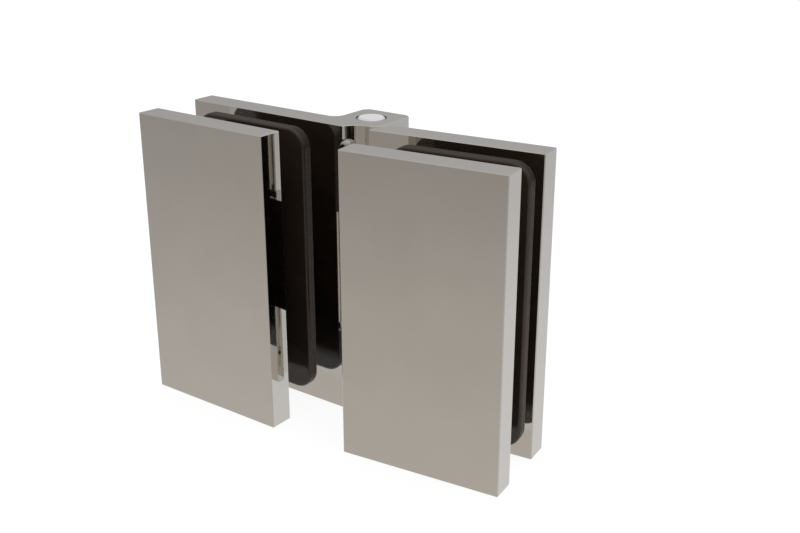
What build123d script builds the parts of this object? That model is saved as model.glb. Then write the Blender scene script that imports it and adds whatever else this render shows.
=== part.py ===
from build123d import *
import os
from math import cos, hypot, radians, sin

# Glass-to-glass door hinge: two clamp leaves on one vertical pin behind the panes.
# Origin on the pin axis, level with the leaves' lower edges. +Z is up, +Y points to
# the barrel side, +X runs along the fixed (right) leaf.

# Leaves
leaf_height = 90.0
plate_width = 49.0
front_plate_thickness = 7.7
back_plate_thickness = 7.7
clamp_gap = 15.0
edge_break = 0.25
rest_opening = 6.6

# Where the pin stands, seen from a leaf
pivot_inset = 10.9
pivot_setback = 5.05

# Knuckle outline round the pin axis
knuckle_root_side = 8.8
knuckle_free_side = 8.3
knuckle_rear = 8.85
knuckle_front = 8.65
knuckle_corner = 2.5
web_fillet = 3.0
nose_reach = 0.6
nose_blend_length = 5.0
nose_blend_sagitta = 0.8
end_knuckle_height = 26.0
swing_clearance = 0.95
left_relief_edge = 3.3
right_relief_edge = 7.0

# Pin and what it runs in
pin_diameter = 8.0
pin_proud = 0.3
pin_chamfer = 0.4
pin_fixed_clearance = 0.02
pin_running_clearance = 0.05
bush_wall = 1.5
bush_spacing = 8.0
bush_flange_width = 2.4
bush_flange_thickness = 0.9
bush_axial_play = 0.1
bush_seat_clearance = 0.02
ring_wall = 0.5
ring_height = 3.0
ring_recess = 0.4
ring_seat_clearance = 0.02

# Domed screws that lock the pin in the end knuckles
lock_screw_diameter = 4.0
lock_screw_height = 5.95
lock_screw_seat = 11.5
lock_dog_length = 1.2
lock_dog_clearance = 0.1
lock_groove_depth = 0.6
lock_groove_width = 2.6
lock_socket_flats = 1.5
lock_socket_depth = 3.0

# Clamp screws, their sleeves and the gaskets
screw_diameter = 6.0
screw_head_diameter = 11.4
screw_head_land = 0.4
screw_head_recess = 0.15
screw_tip_chamfer = 0.6
screw_inset = 22.0
screw_spacing = 50.0
screw_engagement = 5.0
screw_drill_end = 0.5
screw_hole_clearance = 0.3
thread_clearance = 0.02
socket_flats = 4.0
socket_depth = 2.4
sleeve_wall = 2.7
sleeve_end_gap = 1.4
gasket_thickness = 1.9
gasket_margin = 2.95
gasket_corner = 6.0
gasket_edge_radius = 0.9
gasket_hole_clearance = 0.25

# Positions that follow from the sizes above, in leaf coordinates: x outwards from the
# pin axis along the leaf, y towards the barrel side
back_rear_y = -pivot_setback
back_front_y = back_rear_y - back_plate_thickness
front_rear_y = back_front_y - clamp_gap
front_front_y = front_rear_y - front_plate_thickness
plate_far_x = pivot_inset + plate_width
plate_middle_x = pivot_inset + plate_width / 2
screw_x = pivot_inset + screw_inset
screw_heights = (leaf_height / 2 - screw_spacing / 2, leaf_height / 2 + screw_spacing / 2)
lock_heights = (lock_screw_height, leaf_height - lock_screw_height)

# Radii and lengths that follow from the sizes above
pin_radius = pin_diameter / 2
pin_length = leaf_height + pin_proud
bush_gap = bush_flange_thickness + bush_axial_play
bush_bore_radius = pin_radius + pin_running_clearance
bush_radius = bush_bore_radius + bush_wall
bush_flange_radius = bush_radius + bush_flange_width
ring_bore_radius = pin_radius + ring_seat_clearance
ring_radius = ring_bore_radius + ring_wall
ring_seat_radius = ring_radius + ring_seat_clearance
corner_reach = hypot(knuckle_root_side - knuckle_corner, knuckle_rear - knuckle_corner)
relief_radius = corner_reach + knuckle_corner + swing_clearance
middle_knuckle_low = end_knuckle_height + bush_gap
middle_knuckle_high = leaf_height - middle_knuckle_low
bush_length = (middle_knuckle_high - middle_knuckle_low - bush_spacing) / 2
lock_screw_radius = lock_screw_diameter / 2
lock_dog_radius = lock_groove_width / 2 - lock_dog_clearance
lock_screw_length = lock_screw_seat - pin_radius + lock_groove_depth - lock_dog_clearance
screw_radius = screw_diameter / 2
screw_head_radius = screw_head_diameter / 2
screw_hole_radius = screw_radius + screw_hole_clearance
screw_length = back_plate_thickness - screw_head_recess + clamp_gap + screw_engagement
screw_cone_depth = screw_head_radius - screw_radius
sleeve_radius = screw_hole_radius + sleeve_wall
sleeve_length = clamp_gap - sleeve_end_gap
gasket_size = (plate_width - 2 * gasket_margin, leaf_height - 2 * gasket_margin)

# Each leaf is drawn in its own frame. The left leaf is the right one turned over about
# the pin, so its frame starts at the top and its z runs down.
leaf_frames = {
    "left": Plane(
        (0, 0, leaf_height),
        x_dir=(-cos(radians(rest_opening)), sin(radians(rest_opening)), 0),
        z_dir=(0, 0, -1),
    ),
    "right": Plane((0, 0, 0), x_dir=(1, 0, 0), z_dir=(0, 0, 1)),
}
ends = {"left": ("upper", "lower"), "right": ("lower", "upper")}

os.makedirs("parts", exist_ok=True)


def across(frame, x, y, z):
    """Plane across a leaf through a point of it, whose z points to the barrel side."""
    return Plane(frame.from_local_coords((x, y, z)), x_dir=frame.x_dir, z_dir=frame.y_dir)


def forward(frame, x, y, z):
    """Plane across a leaf through a point of it, whose z points away from the barrel."""
    return Plane(frame.from_local_coords((x, y, z)), x_dir=frame.x_dir, z_dir=-frame.y_dir)


def section(base):
    """Plane through the z axis of a base plane: x is the radius, y runs along that axis."""
    return Plane(base.origin, x_dir=base.x_dir, z_dir=-base.y_dir)


def turning_axis(base):
    """Axis that a turned piece standing on a base plane is revolved about."""
    return Axis(base.origin, base.z_dir)


def write(piece, name):
    """Label a finished piece and write it as parts/NAME.step."""
    piece.part.label = name
    export_step(piece.part, f"parts/{name}.step")


def draw_leaf_outline():
    """Back plate and knuckle in plan: rounded square, front blend and web fillet in one face."""
    with BuildSketch(Plane.XY, mode=Mode.PRIVATE) as outline:
        with Locations(
            ((knuckle_root_side - knuckle_free_side) / 2, (knuckle_rear - knuckle_front) / 2)
        ):
            RectangleRounded(
                knuckle_root_side + knuckle_free_side,
                knuckle_rear + knuckle_front,
                knuckle_corner,
            )
        with Locations((nose_reach, back_front_y)):
            Rectangle(
                plate_far_x - nose_reach,
                back_plate_thickness,
                align=(Align.MIN, Align.MIN),
            )
        with BuildLine():
            nose = (nose_reach, back_front_y)
            blend_end = (nose_reach - nose_blend_length, -knuckle_front)
            inner_corner = (nose_reach, -knuckle_front)
            SagittaArc(nose, blend_end, -nose_blend_sagitta)
            Line(blend_end, inner_corner)
            Line(inner_corner, nose)
        make_face()
        web = outline.vertices().sort_by_distance((knuckle_root_side, back_rear_y))[0]
        fillet(web, web_fillet)
    return outline.sketch


# Hinge bodies: back plate and knuckle in one profile, relieved where the other leaf's
# knuckles turn. The left body keeps its two end knuckles, the right one its middle knuckle.
relief_edges = {"left": left_relief_edge, "right": right_relief_edge}
relief_levels = {
    "left": [(end_knuckle_height, leaf_height - end_knuckle_height)],
    "right": [(0, middle_knuckle_low), (middle_knuckle_high, leaf_height)],
}
leaf_outline = draw_leaf_outline()

for side, frame in leaf_frames.items():
    with BuildPart() as hinge_body:
        with BuildSketch(frame):
            add(leaf_outline)
        extrude(amount=leaf_height)
        level_faces = hinge_body.faces().filter_by(Axis.Z)
        far_edges = hinge_body.edges().filter_by(Axis.Z).sort_by(Axis(frame.origin, frame.x_dir))[-2:]
        chamfer(level_faces.edges() + far_edges, edge_break)

        for low, high in relief_levels[side]:
            with BuildSketch(frame.offset(low)):
                Circle(relief_radius)
                with Locations((relief_edges[side], 0)):
                    Rectangle(
                        2 * relief_radius,
                        4 * relief_radius,
                        align=(Align.MAX, Align.CENTER),
                    )
            extrude(amount=high - low, mode=Mode.SUBTRACT)

        with Locations(*[across(frame, screw_x, back_rear_y, height) for height in screw_heights]):
            CounterSinkHole(
                screw_hole_radius,
                screw_head_radius + screw_head_land + screw_head_recess,
                depth=back_plate_thickness,
                counter_sink_angle=90,
            )

        if side == "left":
            with Locations(Plane((0, 0, leaf_height)), Plane((0, 0, 0), z_dir=(0, 0, -1))):
                CounterBoreHole(
                    pin_radius + pin_fixed_clearance,
                    ring_seat_radius,
                    ring_height + ring_recess,
                    depth=end_knuckle_height,
                )
            with Locations(*[forward(frame, 0, back_front_y, height) for height in lock_heights]):
                Hole(lock_screw_radius + thread_clearance, depth=-back_front_y)
        else:
            with Locations(Plane((0, 0, middle_knuckle_high))):
                Hole(bush_radius + bush_seat_clearance, depth=middle_knuckle_high - middle_knuckle_low)
    write(hinge_body, f"{side}_hinge_body")


# Front plates: plain blocks, tapped from behind so that their faces stay clean
for side, frame in leaf_frames.items():
    with BuildPart() as front_plate:
        with BuildSketch(frame):
            with Locations((pivot_inset, front_front_y)):
                Rectangle(plate_width, front_plate_thickness, align=(Align.MIN, Align.MIN))
        extrude(amount=leaf_height)
        chamfer(front_plate.edges(), edge_break)
        with Locations(*[across(frame, screw_x, front_rear_y, height) for height in screw_heights]):
            Hole(screw_radius + thread_clearance, depth=screw_engagement + screw_drill_end)
    write(front_plate, f"{side}_front_plate")


# Gaskets: one on each plate, rounded on the edge that meets the pane
for side, frame in leaf_frames.items():
    seats = {
        "rear": forward(frame, plate_middle_x, back_front_y, leaf_height / 2),
        "front": across(frame, plate_middle_x, front_rear_y, leaf_height / 2),
    }
    for place, seat in seats.items():
        with BuildPart() as gasket:
            with BuildSketch(seat):
                RectangleRounded(*gasket_size, gasket_corner)
                with Locations(
                    (screw_x - plate_middle_x, screw_spacing / 2),
                    (screw_x - plate_middle_x, -screw_spacing / 2),
                ):
                    Circle(sleeve_radius + gasket_hole_clearance, mode=Mode.SUBTRACT)
            extrude(amount=gasket_thickness)
            pane_side = gasket.faces().sort_by(turning_axis(seat))[-1]
            fillet(pane_side.outer_wire().edges(), gasket_edge_radius)
        write(gasket, f"{side}_{place}_gasket")


# Clamp screws: countersunk, hexagon socket, from the back plate into the front plate
for side, frame in leaf_frames.items():
    for end, height in zip(ends[side], screw_heights):
        head = across(frame, screw_x, back_rear_y - screw_head_recess, height)
        with BuildPart() as clamp_screw:
            with BuildSketch(section(head)):
                with BuildLine():
                    Polyline(
                        (0, 0),
                        (screw_head_radius, 0),
                        (screw_head_radius, -screw_head_land),
                        (screw_radius, -screw_head_land - screw_cone_depth),
                        (screw_radius, screw_tip_chamfer - screw_length),
                        (screw_radius - screw_tip_chamfer, -screw_length),
                        (0, -screw_length),
                        close=True,
                    )
                make_face()
            revolve(axis=turning_axis(head))
            with BuildSketch(head):
                RegularPolygon(socket_flats / 2, 6, major_radius=False)
            extrude(amount=-socket_depth, mode=Mode.SUBTRACT)
        write(clamp_screw, f"{side}_clamp_screw_{end}")


# Spacer sleeves: they keep the pane's cut-out off the clamp screws
for side, frame in leaf_frames.items():
    for end, height in zip(ends[side], screw_heights):
        seat = forward(frame, screw_x, back_front_y, height)
        with BuildPart() as spacer_sleeve:
            with BuildSketch(seat):
                Circle(sleeve_radius)
                Circle(screw_hole_radius, mode=Mode.SUBTRACT)
            extrude(amount=sleeve_length)
        write(spacer_sleeve, f"{side}_spacer_sleeve_{end}")


# Hinge pin: turned, with a groove for each lock screw
with BuildPart() as hinge_pin:
    with BuildSketch(section(Plane.XY)) as half_pin:
        Rectangle(pin_radius, pin_length, align=(Align.MIN, Align.MIN))
        chamfer(half_pin.vertices().group_by(Axis.X)[-1], pin_chamfer)
        with Locations(*[(pin_radius, height) for height in lock_heights]):
            Rectangle(2 * lock_groove_depth, lock_groove_width, mode=Mode.SUBTRACT)
    revolve(axis=Axis.Z)
write(hinge_pin, "hinge_pin")


# Flange bushes: one pressed into each end of the middle knuckle
bush_seats = {
    "upper": Plane((0, 0, middle_knuckle_high)),
    "lower": Plane((0, 0, middle_knuckle_low), z_dir=(0, 0, -1)),
}
for end, seat in bush_seats.items():
    with BuildPart() as flange_bush:
        with BuildSketch(section(seat)):
            with Locations((bush_bore_radius, -bush_length)):
                Rectangle(
                    bush_wall,
                    bush_length + bush_flange_thickness,
                    align=(Align.MIN, Align.MIN),
                )
            with Locations((bush_bore_radius, 0)):
                Rectangle(
                    bush_wall + bush_flange_width,
                    bush_flange_thickness,
                    align=(Align.MIN, Align.MIN),
                )
        revolve(axis=turning_axis(seat))
    write(flange_bush, f"{end}_flange_bush")


# Pin rings: they close the counterbore round each end of the pin
ring_seats = {
    "top": Plane((0, 0, leaf_height - ring_recess)),
    "bottom": Plane((0, 0, ring_recess), z_dir=(0, 0, -1)),
}
for end, seat in ring_seats.items():
    with BuildPart() as pin_ring:
        with BuildSketch(seat):
            Circle(ring_radius)
            Circle(ring_bore_radius, mode=Mode.SUBTRACT)
        extrude(amount=-ring_height)
    write(pin_ring, f"{end}_pin_ring")


# Pin lock screws: dome outside, dog point in the pin's groove
for end, height in zip(ends["left"], lock_heights):
    seat = forward(leaf_frames["left"], 0, -lock_screw_seat, height)
    with BuildPart() as lock_screw:
        with BuildSketch(section(seat)):
            with BuildLine():
                dome_top = (0, lock_screw_radius)
                dome_rim = (lock_screw_radius, 0)
                RadiusArc(dome_top, dome_rim, lock_screw_radius)
                Polyline(
                    dome_rim,
                    (lock_screw_radius, lock_dog_length - lock_screw_length),
                    (lock_dog_radius, lock_dog_length - lock_screw_length),
                    (lock_dog_radius, -lock_screw_length),
                    (0, -lock_screw_length),
                    dome_top,
                )
            make_face()
        revolve(axis=turning_axis(seat))
        with BuildSketch(seat.offset(lock_screw_radius)):
            RegularPolygon(lock_socket_flats / 2, 6, major_radius=False)
        extrude(amount=-lock_socket_depth, mode=Mode.SUBTRACT)
    write(lock_screw, f"{end}_pin_lock_screw")
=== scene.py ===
# %% [markdown]
# # A glass door hinge, finished for a studio picture
#
# The hinge is polished chrome: two leaves, each a pair of thick plates that grip a pane, turning
# on a pin that stands behind the panes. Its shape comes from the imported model, which this script
# loads as a fixed frame and doesn't touch. What is left to do here is what an object of mirror
# metal needs most: good surfaces, and a calm room for them to reflect.

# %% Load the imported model
import math

import bmesh
import bpy
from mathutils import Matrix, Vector

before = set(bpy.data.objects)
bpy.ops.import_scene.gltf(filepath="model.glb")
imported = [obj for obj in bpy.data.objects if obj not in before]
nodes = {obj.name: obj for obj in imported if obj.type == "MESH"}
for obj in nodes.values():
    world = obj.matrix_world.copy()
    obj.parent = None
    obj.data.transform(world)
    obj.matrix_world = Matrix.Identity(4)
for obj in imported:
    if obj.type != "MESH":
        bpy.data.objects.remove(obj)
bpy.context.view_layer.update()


# %% [markdown]
# ## The camera
#
# The hinge is seen from the right and a little above, with a 50 mm lens. A camera can be placed
# by its coordinates, but a photographer thinks of what it aims at, from which side and how far
# off, so those are the values here. The aim is a point in the right leaf's clamp gap, a little
# above its middle. `to_track_quat` turns the camera so that its own -Z axis looks along the line.

# %% Place the camera
FOCAL_LENGTH = 50.0
SENSOR_WIDTH = 36.0
NEAREST_SEEN = 0.01
VIEW_AZIMUTH = math.radians(29.6)
VIEW_ELEVATION = math.radians(20.76)
VIEW_DISTANCE = 0.3099
AIM = Vector((0.02105, -0.02017, 0.05426))

level = math.cos(VIEW_ELEVATION)
towards_camera = Vector((
    level * math.sin(VIEW_AZIMUTH),
    -level * math.cos(VIEW_AZIMUTH),
    math.sin(VIEW_ELEVATION),
))
lens = bpy.data.cameras.new("studio_camera")
lens.sensor_width = SENSOR_WIDTH
lens.lens = FOCAL_LENGTH
lens.clip_start = NEAREST_SEEN
camera = bpy.data.objects.new("studio_camera", lens)
camera.location = AIM + VIEW_DISTANCE * towards_camera
camera.rotation_mode = "QUATERNION"
camera.rotation_quaternion = (-towards_camera).to_track_quat("-Z", "Y")
bpy.context.scene.collection.objects.link(camera)
bpy.context.scene.camera = camera
bpy.context.scene.view_settings.view_transform = "Standard"
print("camera at", [round(value, 4) for value in camera.location])


# %% [markdown]
# ## Writing finishes as sums
#
# A material in Blender is a graph of nodes. Wired by hand it takes many lines, so a small class
# does it here. A `Signal` is one output socket. Adding two of them, or taking a share of one,
# puts in a Math node, so a roughness can be written as `0.1 + 0.05 * cloud`. The reflected forms,
# such as `__radd__`, are what Python calls when the plain number stands first.

# %% A socket that can be reckoned with
class Signal:
    """One output socket of a finish, which can be added, subtracted and multiplied."""

    def __init__(self, finish, socket):
        self.finish = finish
        self.socket = socket

    def __add__(self, other):
        return self.finish.reckon("ADD", self, other)

    def __sub__(self, other):
        return self.finish.reckon("SUBTRACT", self, other)

    def __rsub__(self, other):
        return self.finish.reckon("SUBTRACT", other, self)

    def __mul__(self, other):
        return self.finish.reckon("MULTIPLY", self, other)

    __radd__ = __add__
    __rmul__ = __mul__


print("signals can be summed")


# %% [markdown]
# ## One way to put in a node
#
# A `Finish` is the node graph of one material, or of the world. Its `node` method takes a node's
# type, its settings, and a value or a link for each socket. Settings come first, because some of
# them, such as the data type of a Mix node, decide which sockets the node has. What is the same
# all over a surface is written straight on the shader's socket, and needs no node at all.

# %% The graph of one finish
MIX_FACTOR, MIX_FIRST, MIX_SECOND, MIX_RESULT = 0, 6, 7, 2


class Finish:
    """The node graph of a material or of the world."""

    def __init__(self, owner):
        owner.use_nodes = True
        self.owner = owner
        self.tree = owner.node_tree
        self.tree.nodes.clear()

    def node(self, kind, settings=None, inputs=None, output=0):
        """Put in a node: its settings first, then the values or links of its sockets."""
        made = self.tree.nodes.new(kind)
        for name, value in (settings or {}).items():
            if name == "stops":
                self.set_stops(made.color_ramp.elements, value)
            else:
                setattr(made, name, value)
        for name, value in (inputs or {}).items():
            if isinstance(value, Signal):
                self.tree.links.new(value.socket, made.inputs[name])
            else:
                made.inputs[name].default_value = value
        return Signal(self, made.outputs[output]) if made.outputs else None

    def set_stops(self, elements, stops):
        """Fill a colour ramp with greys, given as (place, level) in rising order."""
        elements[0].position, elements[-1].position = stops[0][0], stops[-1][0]
        for place, _ in stops[1:-1]:
            elements.new(place)
        for element, (_, grey) in zip(elements, stops):
            element.color = (grey, grey, grey, 1)

    def reckon(self, operation, first, second):
        return self.node("ShaderNodeMath", {"operation": operation}, {0: first, 1: second})

    def blend(self, factor, first, second):
        """Mix two colours."""
        return self.node(
            "ShaderNodeMix",
            {"data_type": "RGBA"},
            {MIX_FACTOR: factor, MIX_FIRST: first, MIX_SECOND: second},
            MIX_RESULT,
        )

    def stretch(self, value, low, high):
        """Carry the range from low to high onto 0 to 1, and hold it at the ends."""
        return self.node(
            "ShaderNodeMapRange",
            {"clamp": True},
            {"Value": value, "From Min": low, "From Max": high},
        )


print("finishes can be built")


# %% [markdown]
# ## What every finish starts and ends with
#
# A pattern has to know where on the piece it is. Object coordinates are the piece's own metres:
# they stay put when a leaf swings, which coordinates taken from the camera wouldn't. Each finish
# begins with them, breaks the surface up with noise, presses some of it in as a bump, and ends
# in one Principled shader.

# %% Helpers for materials
NOISE_ROUGHNESS = 0.55
SOFT_DETAIL = 3.0
FINE_DETAIL = 2.0
SHADER_SOCKETS = {
    "colour": "Base Color",
    "metal": "Metallic",
    "roughness": "Roughness",
    "normal": "Normal",
    "index": "IOR",
}


def new_material(name):
    """An empty material's finish, and the place on the piece, in metres."""
    finish = Finish(bpy.data.materials.new(name))
    return finish, finish.node("ShaderNodeTexCoord", output="Object")


def grain(finish, place, scale, detail=SOFT_DETAIL, squeeze=(1, 1, 1)):
    """Noise from 0 to 1, with features about 1/scale metres across."""
    spread = finish.node("ShaderNodeMapping", inputs={"Vector": place, "Scale": squeeze})
    return finish.node(
        "ShaderNodeTexNoise",
        inputs={
            "Vector": spread,
            "Scale": scale,
            "Detail": detail,
            "Roughness": NOISE_ROUGHNESS,
        },
    )


def relief(finish, height, depth):
    """A bump whose full height is depth, in metres."""
    return finish.node("ShaderNodeBump", inputs={"Height": height, "Distance": depth})


def surface(finish, **values):
    """Close a finish with its main shader."""
    shader = finish.node(
        "ShaderNodeBsdfPrincipled",
        inputs={SHADER_SOCKETS[key]: value for key, value in values.items()},
    )
    finish.node("ShaderNodeOutputMaterial", inputs={"Surface": shader})
    return finish.owner


def coat(material, word):
    """Give a material to every node that has this word in its name."""
    chosen = [name for name in nodes if word in name]
    for name in chosen:
        slots = nodes[name].data.materials
        slots.clear()
        slots.append(material)
    print(material.name, "on", len(chosen), word, "nodes")


# %% [markdown]
# ## Polished chrome
#
# The leaves are brass, machined, buffed and chrome plated: slightly warm mirrors, which return
# about three quarters of the light. They could be left perfectly smooth, but real plate is never
# quite even. A faint haze in patches a centimetre wide, where a buffing wheel dwelt, changes how
# sharp the reflections are, and very fine lines run along the leaf. Both are kept small, because
# the reflections of the rubber pads have to stay crisp.

# %% Chrome for the hinge bodies and front plates
BRIGHT_CHROME = (0.77, 0.755, 0.725, 1)
HAZY_CHROME = (0.75, 0.735, 0.705, 1)
CHROME_ROUGHNESS = 0.025
HAZE_SCALE = 70.0
HAZE_START, HAZE_FULL = 0.35, 0.65
HAZE_ROUGHNESS = 0.02
BUFFING_SCALE = 900.0
BUFFING_SQUEEZE = (0.15, 1.0, 1.0)
BUFFING_ROUGHNESS = 0.01
BUFFING_DEPTH = 0.0000006


def polished_chrome():
    finish, place = new_material("polished_chrome")
    haze = finish.stretch(grain(finish, place, HAZE_SCALE), HAZE_START, HAZE_FULL)
    buffing = grain(finish, place, BUFFING_SCALE, FINE_DETAIL, BUFFING_SQUEEZE)
    return surface(
        finish,
        colour=finish.blend(1 - haze, HAZY_CHROME, BRIGHT_CHROME),
        metal=1.0,
        roughness=CHROME_ROUGHNESS + HAZE_ROUGHNESS * haze + BUFFING_ROUGHNESS * buffing,
        normal=relief(finish, buffing, BUFFING_DEPTH),
    )


chrome = polished_chrome()
coat(chrome, "hinge_body")
coat(chrome, "front_plate")


# %% [markdown]
# ## Rubber pads
#
# Each plate carries a thin pad of dark rubber, so that metal never touches glass. It is moulded
# smooth and almost black, with a trace of brown. A clear coat over matt black would shine too,
# but rubber has no coat: its shine is its own, weak from the front and strong at a low angle,
# and the shader's index of refraction alone gives that. A fine grain in the roughness keeps the
# shine from looking like paint.

# %% Rubber for the four gaskets
BROWN_BLACK = (0.041, 0.028, 0.021, 1)
DEEP_BLACK = (0.032, 0.022, 0.016, 1)
RUBBER_INDEX = 1.6
RUBBER_ROUGHNESS = 0.08
MOULD_SCALE = 120.0
MOULD_START, MOULD_FULL = 0.3, 0.7
MOULD_ROUGHNESS = 0.04
RUBBER_SKIN_SCALE = 2600.0
RUBBER_SKIN_ROUGHNESS = 0.03
RUBBER_SKIN_DEPTH = 0.0000015


def gasket_rubber():
    finish, place = new_material("gasket_rubber")
    mould = finish.stretch(grain(finish, place, MOULD_SCALE), MOULD_START, MOULD_FULL)
    skin = grain(finish, place, RUBBER_SKIN_SCALE, FINE_DETAIL)
    return surface(
        finish,
        colour=finish.blend(mould, BROWN_BLACK, DEEP_BLACK),
        roughness=RUBBER_ROUGHNESS + MOULD_ROUGHNESS * mould + RUBBER_SKIN_ROUGHNESS * skin,
        normal=relief(finish, skin, RUBBER_SKIN_DEPTH),
        index=RUBBER_INDEX,
    )


coat(gasket_rubber(), "gasket")


# %% [markdown]
# ## The pin's turned end
#
# The pin is ground round and faced flat at its ends. Facing leaves fine rings, too fine to be
# worth modelling, so a wave texture makes them from the distance to the Z axis. That is the
# pin's own axis, since it stands at the origin. The end looks much paler than the plates. Satin
# steel gets that from the lamp above, but the lamp of this scene is hidden from reflections, so
# a full metal would stay dark. The finish is made only partly metallic instead, and the rest of
# it takes the lamp's light as a pale matt surface does.

# %% Steel for the hinge pin
PALE_STEEL = (0.86, 0.87, 0.87, 1)
GREY_STEEL = (0.82, 0.83, 0.83, 1)
PIN_METAL_SHARE = 0.3
PIN_ROUGHNESS = 0.42
RING_SCALE = 900.0
RING_WANDER = 0.6
RING_DETAIL = 1.0
RING_ROUGHNESS = 0.06
RING_DEPTH = 0.000001
PIN_CLOUD_SCALE = 400.0
PIN_CLOUD_ROUGHNESS = 0.05


def pin_steel():
    finish, place = new_material("pin_steel")
    rings = finish.node(
        "ShaderNodeTexWave",
        {"wave_type": "RINGS", "rings_direction": "Z"},
        {
            "Vector": place,
            "Scale": RING_SCALE,
            "Distortion": RING_WANDER,
            "Detail": RING_DETAIL,
        },
        output="Fac",
    )
    cloud = grain(finish, place, PIN_CLOUD_SCALE)
    return surface(
        finish,
        colour=finish.blend(cloud, PALE_STEEL, GREY_STEEL),
        metal=PIN_METAL_SHARE,
        roughness=PIN_ROUGHNESS + RING_ROUGHNESS * rings + PIN_CLOUD_ROUGHNESS * cloud,
        normal=relief(finish, rings, RING_DEPTH),
    )


coat(pin_steel(), "hinge_pin")


# %% [markdown]
# ## Screws
#
# The clamp screws are stainless steel with a satin skin, a little darker than the chrome round
# them, so that their heads can be told apart in the countersinks. The screws that lock the pin
# are smaller, brighter and domed. Each could have a material of its own, but they differ only in
# colour and polish, so one recipe takes those two and serves both.

# %% Steel for the clamp screws and the lock screws
CLAMP_COLOURS = ((0.6, 0.59, 0.57, 1), (0.54, 0.53, 0.51, 1))
CLAMP_ROUGHNESS, CLAMP_SPREAD = 0.22, 0.1
LOCK_COLOURS = ((0.68, 0.67, 0.65, 1), (0.62, 0.61, 0.59, 1))
LOCK_ROUGHNESS, LOCK_SPREAD = 0.1, 0.06
SCREW_CLOUD_SCALE = 500.0
SCREW_SKIN_SCALE = 3000.0
SCREW_SKIN_ROUGHNESS = 0.04
SCREW_SKIN_DEPTH = 0.000001


def satin_steel(name, colours, smoothest, spread):
    finish, place = new_material(name)
    cloud = grain(finish, place, SCREW_CLOUD_SCALE)
    skin = grain(finish, place, SCREW_SKIN_SCALE, FINE_DETAIL)
    return surface(
        finish,
        colour=finish.blend(cloud, *colours),
        metal=1.0,
        roughness=smoothest + spread * cloud + SCREW_SKIN_ROUGHNESS * skin,
        normal=relief(finish, skin, SCREW_SKIN_DEPTH),
    )


coat(satin_steel("screw_steel", CLAMP_COLOURS, CLAMP_ROUGHNESS, CLAMP_SPREAD), "clamp_screw")
coat(satin_steel("lock_screw_steel", LOCK_COLOURS, LOCK_ROUGHNESS, LOCK_SPREAD), "lock_screw")


# %% [markdown]
# ## Plastic: bushes, pin rings and spacer sleeves
#
# The pin turns in two flanged bushes of dark acetal, and a thin ring of the same closes the gap
# round each of its ends. Sleeves of dark nylon keep the panes off the clamp screws. An even
# black would make them look like holes. Turned and moulded plastic is matt with a faint mottle,
# so noise feeds the colour, the roughness and a shallow bump at once.

# %% Dark plastics
BUSH_COLOURS = ((0.035, 0.032, 0.03, 1), (0.024, 0.022, 0.02, 1))
BUSH_ROUGHNESS = 0.35
RING_COLOURS = ((0.03, 0.03, 0.03, 1), (0.02, 0.02, 0.02, 1))
PIN_RING_ROUGHNESS = 0.45
SLEEVE_COLOURS = ((0.03, 0.027, 0.025, 1), (0.02, 0.018, 0.016, 1))
SLEEVE_ROUGHNESS = 0.3
PLASTIC_INDEX = 1.48
MOTTLE_SCALE = 700.0
MOTTLE_ROUGHNESS = 0.12
MOTTLE_DEPTH = 0.000003


def dark_plastic(name, colours, smoothest):
    finish, place = new_material(name)
    mottle = grain(finish, place, MOTTLE_SCALE)
    return surface(
        finish,
        colour=finish.blend(mottle, *colours),
        roughness=smoothest + MOTTLE_ROUGHNESS * mottle,
        normal=relief(finish, mottle, MOTTLE_DEPTH),
        index=PLASTIC_INDEX,
    )


coat(dark_plastic("bush_plastic", BUSH_COLOURS, BUSH_ROUGHNESS), "flange_bush")
coat(dark_plastic("ring_plastic", RING_COLOURS, PIN_RING_ROUGHNESS), "pin_ring")
coat(dark_plastic("sleeve_plastic", SLEEVE_COLOURS, SLEEVE_ROUGHNESS), "spacer_sleeve")


# %% [markdown]
# ## The room
#
# A mirror has no colour of its own: it shows the room. A studio picture used as the world would
# give it one, but a few greys do the same and can be tuned one by one. The page is white, yet
# the metal has to see a soft grey room, or the hinge would vanish against the page. Light Path
# tells what kind of ray is asking, so the world can give three answers. To the camera, and
# through anything clear, it is white. To a reflection it is a grey sweep, darkest at the horizon
# and lighter behind the hinge, which sets its front, top and side faces apart. To everything
# else it is an even light.

# %% The world
WHITE = (1, 1, 1, 1)
PAGE_STRENGTH = 1.0
EVEN_STRENGTH = 0.65
FRONT_TINT = (1.0, 0.92, 0.84, 1)
REAR_TINT = (1.0, 0.99, 0.975, 1)
FRONT_DEPTH, REAR_DEPTH = -0.8, 0.2
DEPTH_SLOPE = 0.12

# How bright the sweep is from straight below (0) past the horizon (0.5) to straight above (1)
SWEEP_LEVELS = [
    (0.2, 0.63),
    (0.25, 0.6),
    (0.3, 0.55),
    (0.35, 0.465),
    (0.4, 0.4),
    (0.5, 0.25),
    (0.68, 0.37),
    (1.0, 0.6),
]


def lit(finish, colour, strength):
    """One light for every direction that the world is seen in."""
    return finish.node("ShaderNodeBackground", inputs={"Color": colour, "Strength": strength})


def grey_sweep(finish):
    """The room as the metal sees it: a level by height, and a tint and a slope by depth."""
    direction = finish.node("ShaderNodeTexCoord", output="Generated")
    depth = finish.node("ShaderNodeSeparateXYZ", inputs={"Vector": direction}, output="Y")
    height = finish.node("ShaderNodeSeparateXYZ", inputs={"Vector": direction}, output="Z")
    upward = 0.5 + 0.5 * height
    levels = finish.node("ShaderNodeValToRGB", {"stops": SWEEP_LEVELS}, {"Fac": upward})
    tint = finish.blend(finish.stretch(depth, FRONT_DEPTH, REAR_DEPTH), FRONT_TINT, REAR_TINT)
    return lit(finish, tint, levels + DEPTH_SLOPE * depth)


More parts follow.
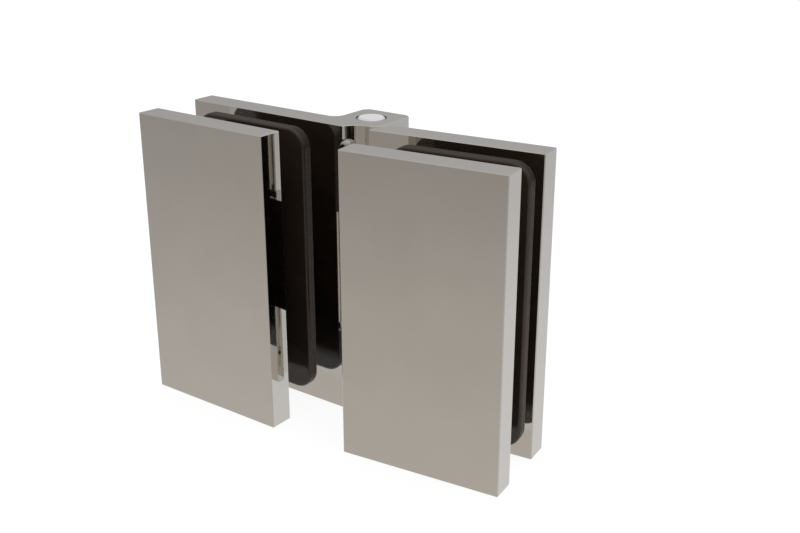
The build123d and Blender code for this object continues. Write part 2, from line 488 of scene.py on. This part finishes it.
def studio_room():
    world = bpy.data.worlds.new("studio_room")
    bpy.context.scene.world = world
    finish = Finish(world)
    is_camera = finish.node("ShaderNodeLightPath", output="Is Camera Ray")
    is_through = finish.node("ShaderNodeLightPath", output="Is Transmission Ray")
    is_glossy = finish.node("ShaderNodeLightPath", output="Is Glossy Ray")
    even = lit(finish, WHITE, EVEN_STRENGTH)
    page = lit(finish, WHITE, PAGE_STRENGTH)
    unseen = finish.node(
        "ShaderNodeMixShader", inputs={0: is_glossy, 1: even, 2: grey_sweep(finish)}
    )
    shown = finish.node(
        "ShaderNodeMixShader", inputs={0: is_camera + is_through, 1: unseen, 2: page}
    )
    finish.node("ShaderNodeOutputWorld", inputs={"Surface": shown})
    print(world.name, "has", len(finish.tree.nodes), "nodes")


studio_room()


# %% [markdown]
# ## The floor
#
# The floor is white to the camera and keeps a soft shadow. Plain white paper under a strong lamp
# would do that too, but it would throw far too much light on the hinge. So most of the floor's
# brightness is its own, and the rest comes from the lamp, so that the hinge still darkens it.
# Reflections pass through it to the sweep, because a floor's edge mirrored in the plates would
# look like a fault in the plating. It lies a hair below the leaves' lower edges, which keeps the
# two surfaces from fighting over the same height.

# %% Floor
FLOOR_WIDTH = 6.0
FLOOR_GAP = 0.0001
PAPER_GREY = (0.8, 0.8, 0.8, 1)
SHADOW_GREY = (0.16, 0.16, 0.16, 1)
OWN_LIGHT = 0.91


def floor_paper():
    finish = Finish(bpy.data.materials.new("studio_floor"))
    is_camera = finish.node("ShaderNodeLightPath", output="Is Camera Ray")
    is_glossy = finish.node("ShaderNodeLightPath", output="Is Glossy Ray")
    paper = finish.node("ShaderNodeBsdfDiffuse", inputs={"Color": PAPER_GREY})
    shaded = finish.node("ShaderNodeBsdfDiffuse", inputs={"Color": SHADOW_GREY})
    glow = finish.node("ShaderNodeEmission", inputs={"Color": WHITE, "Strength": OWN_LIGHT})
    page = finish.node("ShaderNodeAddShader", inputs={0: shaded, 1: glow})
    solid = finish.node("ShaderNodeMixShader", inputs={0: is_camera, 1: paper, 2: page})
    clear = finish.node("ShaderNodeBsdfTransparent")
    shown = finish.node("ShaderNodeMixShader", inputs={0: is_glossy, 1: solid, 2: clear})
    finish.node("ShaderNodeOutputMaterial", inputs={"Surface": shown})
    return finish.owner


def studio_floor():
    sheet = bmesh.new()
    bmesh.ops.create_grid(sheet, x_segments=1, y_segments=1, size=FLOOR_WIDTH / 2)
    bmesh.ops.translate(sheet, verts=sheet.verts, vec=(0, 0, -FLOOR_GAP))
    mesh = bpy.data.meshes.new("studio_floor")
    sheet.to_mesh(mesh)
    sheet.free()
    mesh.materials.append(floor_paper())
    floor = bpy.data.objects.new("studio_floor", mesh)
    bpy.context.scene.collection.objects.link(floor)
    edges = [corner.co.x for corner in mesh.vertices]
    print("floor", round(max(edges) - min(edges), 3), "m wide")


studio_floor()


# %% [markdown]
# ## The lamp
#
# One wide, soft lamp overhead lights the rubber, the plastic and the pin's pale end, and casts
# the shadow. A point lamp would cast a hard one. The same power from a smaller face would look
# brighter, so the power is worked out from the face's area and from how bright it should be. The
# lamp is hidden from reflections, as a photographer keeps lamps out of a mirror, or it would
# draw a hard white line on every broken edge.

# %% Lamp
LAMP_PLACE = Vector((0.15, 0.15, 0.95))
LAMP_AIM = Vector((0.0, -0.01, 0.045))
LAMP_WIDTH = 0.6
LAMP_BRIGHTNESS = 3.0

overhead = bpy.data.lights.new("overhead_lamp", "AREA")
overhead.shape = "SQUARE"
overhead.size = LAMP_WIDTH
overhead.energy = LAMP_BRIGHTNESS * math.pi * LAMP_WIDTH ** 2
lamp = bpy.data.objects.new("overhead_lamp", overhead)
lamp.location = LAMP_PLACE
lamp.rotation_mode = "QUATERNION"
lamp.rotation_quaternion = (LAMP_AIM - LAMP_PLACE).to_track_quat("-Z", "Y")
lamp.visible_glossy = False
bpy.context.scene.collection.objects.link(lamp)
print("lamp power", round(overhead.energy, 2), "W")
